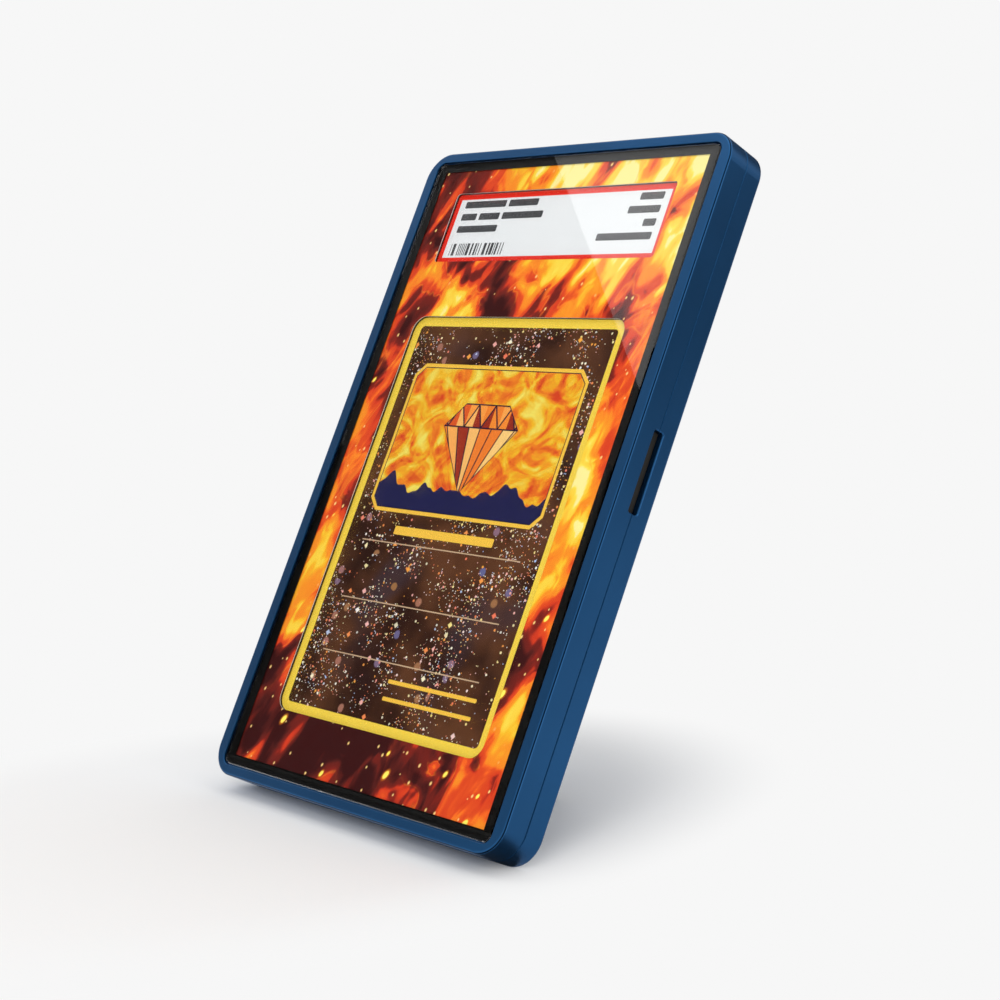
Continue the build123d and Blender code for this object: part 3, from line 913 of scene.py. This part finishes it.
class CARDCASE_OT_window(bpy.types.Operator):
    """Finishes the pane, its printed border and its tape"""

    bl_idname = "card_case.window"
    bl_label = "Finish the window"

    def execute(self, context):
        set_material(see_through("window_glass", 1.5, (1.0, 1.0, 1.0), 0.0), "window_glass")
        set_material(printed_black(), "window_mask")
        set_material(bonding_tape(), "window_tape")
        return {"FINISHED"}


class CARDCASE_OT_prints(bpy.types.Operator):
    """Prints the art sheet, the sample card and its label"""

    bl_idname = "card_case.prints"
    bl_label = "Print the sheet, card and label"

    def execute(self, context):
        settings = context.scene.card_case_prints
        set_material(flame_print(settings), "art_insert")
        set_material(foil_card(settings), "card")
        set_material(paper_label(settings), "slab_label")
        return {"FINISHED"}


class CARDCASE_OT_slab(bpy.types.Operator):
    """Finishes the clear shells around the card"""

    bl_idname = "card_case.slab"
    bl_label = "Finish the slab"

    def execute(self, context):
        clear = see_through("slab_clear", 1.49, (0.985, 0.993, 0.995), 0.3)
        set_material(clear, "slab_front", "slab_back")
        return {"FINISHED"}


class CARDCASE_OT_hardware(bpy.types.Operator):
    """Finishes magnets, dowels, pin, washers, plate and screws"""

    bl_idname = "card_case.hardware"
    bl_label = "Finish the hardware"

    def execute(self, context):
        nickel = plated("magnet", (0.75, 0.74, 0.72), 0.18, 0.1)
        set_material(nickel, "front_magnets", "rear_magnets", "latch_magnet")
        steel = plated("steel", (0.52, 0.52, 0.53), 0.32, 0.2)
        set_material(steel, "dowel_pins", "hinge_pin", "hinge_washers", "pin_retainer", "retainer_screws")
        return {"FINISHED"}


class CARDCASE_OT_soft_parts(bpy.types.Operator):
    """Makes the foam pad, the rubber liner and the ribbed foot"""

    bl_idname = "card_case.soft_parts"
    bl_label = "Make the soft parts"

    def execute(self, context):
        silicone = rubber()
        make_foam_pad()
        make_rubber_liner(silicone)
        make_ribbed_foot(silicone)
        return {"FINISHED"}


def area_lamp(name, width, height, radiance, placing):
    """Area lamp as bright as radiance says, which the camera doesn't see."""
    lamp = bpy.data.lights.new(name, "AREA")
    lamp.shape = "RECTANGLE"
    lamp.size = width
    lamp.size_y = height
    lamp.energy = radiance * pi * width * height
    holder = bpy.data.objects.new(name, lamp)
    bpy.context.scene.collection.objects.link(holder)
    holder.matrix_world = placing
    holder.visible_camera = False
    return holder


def facing(place, toward):
    """Puts something at a place with its front towards a direction."""
    return Matrix.Translation(place) @ toward.to_track_quat("Z", "Y").to_matrix().to_4x4()


def make_lamps(settings):
    """Soft lamps around the case. Neither gloss nor glass mirrors the fill."""
    aim = middle("front_frame")
    # Name, direction from the case, distance, width, height and radiance
    lamps = (
        ("key", (-0.38, -0.30, 0.87), 1.2, 0.5, 0.5, 1.5),
        ("edge_strip", (0.97, 0.05, 0.24), 1.1, 0.08, 0.6, 1.0),
        ("left_strip", (-0.92, -0.16, 0.36), 1.1, 0.2, 0.6, 0.9),
        ("fill", (0.55, -0.74, 0.40), 1.2, 0.5, 0.5, 7.2),
    )
    for name, direction, distance, width, height, radiance in lamps:
        toward = Vector(direction).normalized()
        placing = facing(aim + toward * distance, toward)
        lamp = area_lamp(name, width, height, radiance * settings.lamp_level, placing)
        if name == "fill":
            lamp.visible_glossy = False
            lamp.visible_transmission = False


def make_camera(settings):
    camera = bpy.data.objects.new("camera", bpy.data.cameras.new("camera"))
    camera.data.sensor_width = 36.0
    camera.data.lens = settings.camera_lens
    camera.data.clip_start = 0.01
    camera.location = settings.camera_place
    camera.rotation_euler = (pi / 2 - settings.camera_dip, 0, settings.camera_turn)
    bpy.context.scene.collection.objects.link(camera)
    bpy.context.scene.camera = camera


def make_floor(settings):
    """Pale floor that keeps the shadow near the case and fades into the backdrop."""
    floor_size, matt_share = 8.0, 0.93
    shadow_centre, shadow_size = (-0.02, -0.04, 0), (0.085, 0.14, 1)
    shape = bmesh.new()
    bmesh.ops.create_grid(shape, x_segments=1, y_segments=1, size=floor_size)
    finish = Finish("floor")
    spread = finish.mapped(Vector=finish.here(), Location=shadow_centre, Scale=shadow_size)
    reach = finish.vector_maths("LENGTH", spread, output="Value")
    pale = opaque(settings.backdrop_colour)
    lit = opaque([channel * matt_share for channel in settings.backdrop_colour])
    matt = finish.add("ShaderNodeBsdfDiffuse", sockets={"Color": lit})
    bright = finish.add("ShaderNodeEmission", sockets={"Color": pale})
    camera, glossy, through = finish.rays("Camera", "Glossy", "Transmission")
    far = (camera.most(through) * reach.ramp(0.6, 0.95)).most(glossy * reach.ramp(1.6, 3.5))
    material = finish.show(finish.add("ShaderNodeMixShader", sockets=[far, matt, bright]))
    floor = object_of(shape, "floor", material)


class Surroundings(Finish):
    """The light around the stage, made with the same helpers as a material."""

    output_kind = "ShaderNodeOutputWorld"

    def new(self, name):
        return bpy.data.worlds.new(name)


def make_world(settings):
    """Even light on the case, and the pale backdrop for what is seen, also in gloss and glass."""
    world = Surroundings("studio")
    level = settings.ambient_level * settings.lamp_level
    light = world.add("ShaderNodeBackground", sockets={"Color": (1, 1, 1, 1), "Strength": level})
    pale = opaque(settings.backdrop_colour)
    back = world.add("ShaderNodeBackground", sockets={"Color": pale, "Strength": 1.0})
    camera, glossy, through = world.rays("Camera", "Glossy", "Transmission")
    shown = world.add("ShaderNodeMixShader", sockets=[camera.most(glossy).most(through), light, back])
    bpy.context.scene.world = world.show(shown)


def black_flag(name, centre, toward, width, height, shade=0.004):
    """Dark card that only gloss and glass mirror: it keeps a reflection dark, with no shadow."""
    shape = bmesh.new()
    bmesh.ops.create_grid(shape, x_segments=1, y_segments=1, size=0.5)
    bmesh.ops.scale(shape, vec=(width, height, 1), verts=shape.verts)
    bmesh.ops.transform(shape, matrix=facing(centre, toward), verts=shape.verts)
    finish = Finish(name)
    matt = finish.add("ShaderNodeBsdfDiffuse", sockets={"Color": opaque([shade] * 3)})
    flag = object_of(shape, name, finish.show(matt))
    for ray in ("camera", "diffuse", "shadow"):
        setattr(flag, f"visible_{ray}", False)


def make_flags():
    """Keeps the pane's border black, the side darker than the rim, and the front's foot dark."""
    pane = on_pane(0, 0)
    # Name, direction from the pane, distance, width and height
    flags = (
        ("pane_flag", (-0.75, -0.49, 0.44), 0.85, 0.42, 0.60),
        ("side_flag", (0.74, 0.664, 0.04), 0.7, 0.75, 0.2),
        ("rim_flag", (0.70, -0.66, 0.24), 0.8, 0.55, 0.6),
        ("corner_flag", (-0.1, 0.9, 0.36), 0.8, 0.6, 0.35),
    )
    for name, direction, distance, width, height in flags:
        toward = Vector(direction).normalized()
        black_flag(name, pane + toward * distance, -toward, width, height)
    # Grey sheet on the floor by the front's lower right corner, seen only in gloss: painted shade in that
    # corner's reflection of the floor
    under_edge = Vector((0.054, -0.034, 0.0005))
    black_flag("foot_flag", under_edge, Vector((0, 0, 1)), width=0.036, height=0.014, shade=0.12)


def make_glare_card(settings):
    """White card whose edge the pane mirrors across its top right corner."""
    camera = Vector(settings.camera_place)
    pane = on_pane(0, 0)
    mirrored = camera - 2 * (camera - pane).dot(out_of_case) * out_of_case
    top, side, corner = on_pane(-5.7, 69.7), on_pane(42.6, 16.3), on_pane(42.6, 69.7)
    distance, length, width, radiance = 0.7, 0.34, 0.12, 0.56
    ahead = ((top + side) / 2 - mirrored).normalized()
    far = (pane - mirrored).dot(ahead) + distance

    def thrown(point):
        ray = point - mirrored
        return mirrored + ray * (far / ray.dot(ahead))

    edge_top, edge_side, beyond = thrown(top), thrown(side), thrown(corner)
    edge = (edge_side - edge_top).normalized()
    inward = (beyond - edge_top) - (beyond - edge_top).dot(edge) * edge
    inward.normalize()
    centre = (edge_top + edge_side) / 2 + inward * width / 2
    normal = edge.cross(inward)
    if normal.dot(pane - centre) > 0:
        normal, edge = -normal, -edge
    axes = Matrix((edge, normal.cross(edge), normal)).transposed().to_4x4()
    placing = Matrix.Translation(centre) @ axes
    area_lamp("glare_card", length, width, radiance * settings.lamp_level, placing)


class CARDCASE_OT_stage(bpy.types.Operator):
    """Sets the floor, the lamps and the camera"""

    bl_idname = "card_case.stage"
    bl_label = "Set the stage"

    def execute(self, context):
        settings = context.scene.card_case_stage
        context.scene.view_settings.view_transform = "Standard"
        make_camera(settings)
        make_floor(settings)
        make_world(settings)
        make_glare_card(settings)
        make_flags()
        make_lamps(settings)
        return {"FINISHED"}


class CARDCASE_PT_panel(bpy.types.Panel):
    """Lists the finishes and the stage of the display case"""

    bl_idname = "CARDCASE_PT_panel"
    bl_label = "Card display case"
    bl_space_type = "VIEW_3D"
    bl_region_type = "UI"
    bl_category = "Card case"

    def draw(self, context):
        for group in (
            context.scene.card_case_finishes,
            context.scene.card_case_prints,
            context.scene.card_case_stage,
        ):
            for name in group.bl_rna.properties.keys():
                if name not in ("rna_type", "name"):
                    self.layout.prop(group, name)
        for operator in operators:
            self.layout.operator(operator.bl_idname)


operators = (
    CARDCASE_OT_stage,
    CARDCASE_OT_metalwork,
    CARDCASE_OT_window,
    CARDCASE_OT_prints,
    CARDCASE_OT_slab,
    CARDCASE_OT_hardware,
    CARDCASE_OT_soft_parts,
)
classes = (CaseFinishes, PrintFinishes, StudioStage, *operators, CARDCASE_PT_panel)


def register():
    for item in classes:
        bpy.utils.register_class(item)
    bpy.types.Scene.card_case_finishes = bpy.props.PointerProperty(type=CaseFinishes)
    bpy.types.Scene.card_case_prints = bpy.props.PointerProperty(type=PrintFinishes)
    bpy.types.Scene.card_case_stage = bpy.props.PointerProperty(type=StudioStage)


def unregister():
    del bpy.types.Scene.card_case_stage
    del bpy.types.Scene.card_case_prints
    del bpy.types.Scene.card_case_finishes
    for item in reversed(classes):
        bpy.utils.unregister_class(item)


def main():
    register()
    bpy.ops.card_case.stage()
    bpy.ops.card_case.metalwork()
    bpy.ops.card_case.window()
    bpy.ops.card_case.prints()
    bpy.ops.card_case.slab()
    bpy.ops.card_case.hardware()
    bpy.ops.card_case.soft_parts()


if __name__ == "__main__":
    main()
